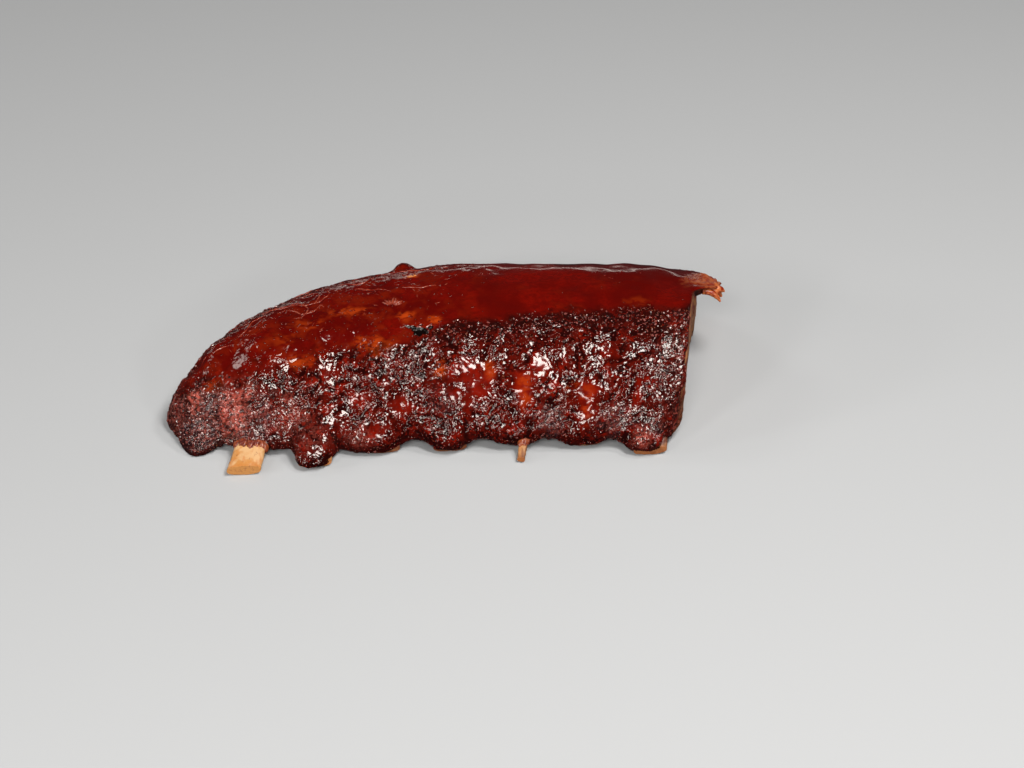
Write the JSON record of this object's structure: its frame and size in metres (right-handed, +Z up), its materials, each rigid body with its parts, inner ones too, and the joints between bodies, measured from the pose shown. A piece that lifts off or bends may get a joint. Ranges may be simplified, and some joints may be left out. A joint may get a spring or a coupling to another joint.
{
  "type": "half rack of back ribs",
  "caption": "Glazed pork back ribs in one slab, tapered at one end and cut off at the other, lying bone side down with an arched underside.",
  "frame": {"origin": "on the plane the rack lies on, below the middle of its bounding box", "axes": "+X along the rack towards the end that is cut off, +Y towards the loin side, away from the tips of the ribs, +Z up"},
  "size_m": [0.2108, 0.1131, 0.0412],
  "materials": {
    "glazed_bark": "dark red-brown bark under a glossy sauce glaze",
    "roasted_bone": "dry, dull roasted bone"
  },
  "bodies": {
    "root": {"meat": "glazed_bark", "rib_bone_1": "roasted_bone", "rib_bone_2": "roasted_bone", "rib_bone_3": "roasted_bone", "rib_bone_4": "roasted_bone", "rib_bone_5": "roasted_bone", "rib_bone_6": "roasted_bone", "rib_bone_7": "roasted_bone"}
  },
  "joints": []
}
